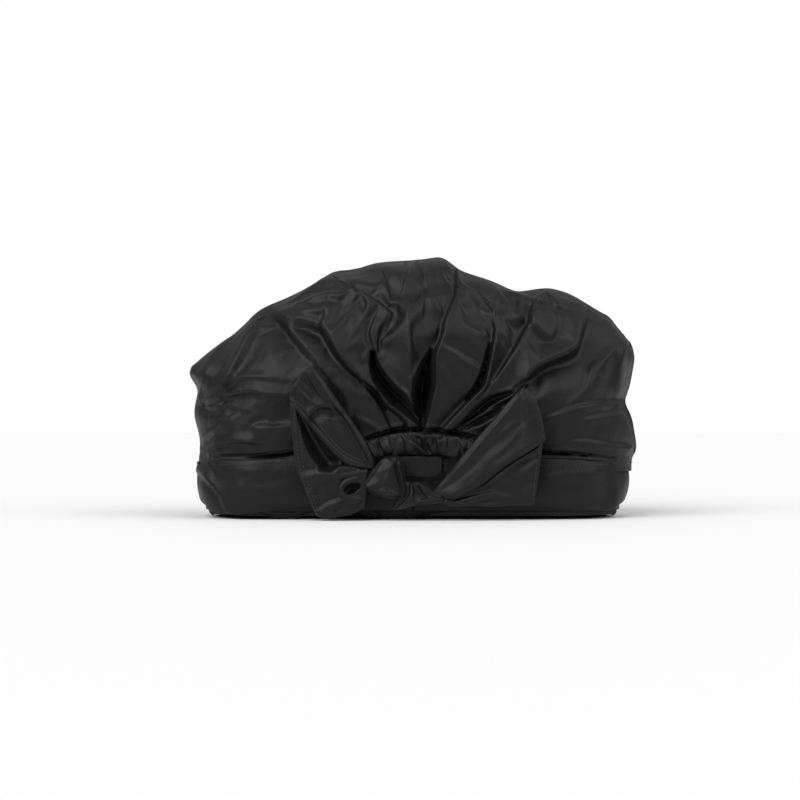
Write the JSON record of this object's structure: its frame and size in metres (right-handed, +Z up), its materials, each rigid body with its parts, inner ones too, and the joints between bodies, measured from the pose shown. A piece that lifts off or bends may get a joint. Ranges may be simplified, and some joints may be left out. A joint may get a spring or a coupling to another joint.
{
  "type": "turban shower cap",
  "caption": "Turban-style shower cap: a gathered, lined crown on a turned-up cuff with an elastic rim and a knotted bow whose tails swing.",
  "frame": {"origin": "middle of the rim opening, on the plane that the rim rests on", "axes": "+Z up through the crown, -Y towards the front with the bow, +X to the right of someone looking at the front"},
  "size_m": [0.3154, 0.1478, 0.184],
  "materials": {
    "outer_nylon": "black satin-woven nylon with a water-repellent finish",
    "lining": "black waterproof coated lining, semi-matt",
    "elastic": "black ribbed knitted elastic",
    "thread": "black polyester sewing thread"
  },
  "bodies": {
    "cap": {"crown": "outer_nylon", "crown_lining": "lining", "inner_band": "outer_nylon", "cuff_front_left": "outer_nylon", "cuff_front_right": "outer_nylon", "cuff_back": "outer_nylon", "rim_casing": "outer_nylon", "rim_elastic": "elastic", "front_casing": "outer_nylon", "front_elastic": "elastic", "front_panel": "outer_nylon", "knot_wrap": "outer_nylon", "left_tie": "outer_nylon", "right_tie": "outer_nylon", "crown_seam_thread": "thread", "cuff_hem_thread": "thread", "rim_hem_thread": "thread", "panel_thread": "thread"},
    "left_cuff": {"cuff_left_end": "outer_nylon"},
    "right_cuff": {"cuff_right_end": "outer_nylon"},
    "left_tail": {"left_tail": "outer_nylon", "left_tail_thread": "thread"},
    "right_tail": {"right_tail": "outer_nylon", "right_tail_thread": "thread"}
  },
  "joints": [
    {"name": "left_relax", "type": "slide", "parent": "cap", "child": "left_cuff", "axis": [1, 0, 0], "range_m": [0, 0.045], "deforming": ["inner_band", "rim_casing", "rim_elastic", "rim_hem_thread", "crown_lining"]},
    {"name": "right_relax", "type": "slide", "parent": "cap", "child": "right_cuff", "axis": [-1, 0, 0], "range_m": [0, 0.045]},
    {"name": "left_tail_swing", "type": "hinge", "parent": "cap", "child": "left_tail", "pos_m": [-0.038, -0.06515, 0.028], "axis": [0, 0, 1], "range_deg": [0, 60]},
    {"name": "right_tail_swing", "type": "hinge", "parent": "cap", "child": "right_tail", "pos_m": [0.02, -0.06515, 0.017], "axis": [0, 0, -1], "range_deg": [0, 60]}
  ],
  "couplings": [
    {"joint": "right_relax", "follows": "left_relax", "ratio": 1}
  ]
}
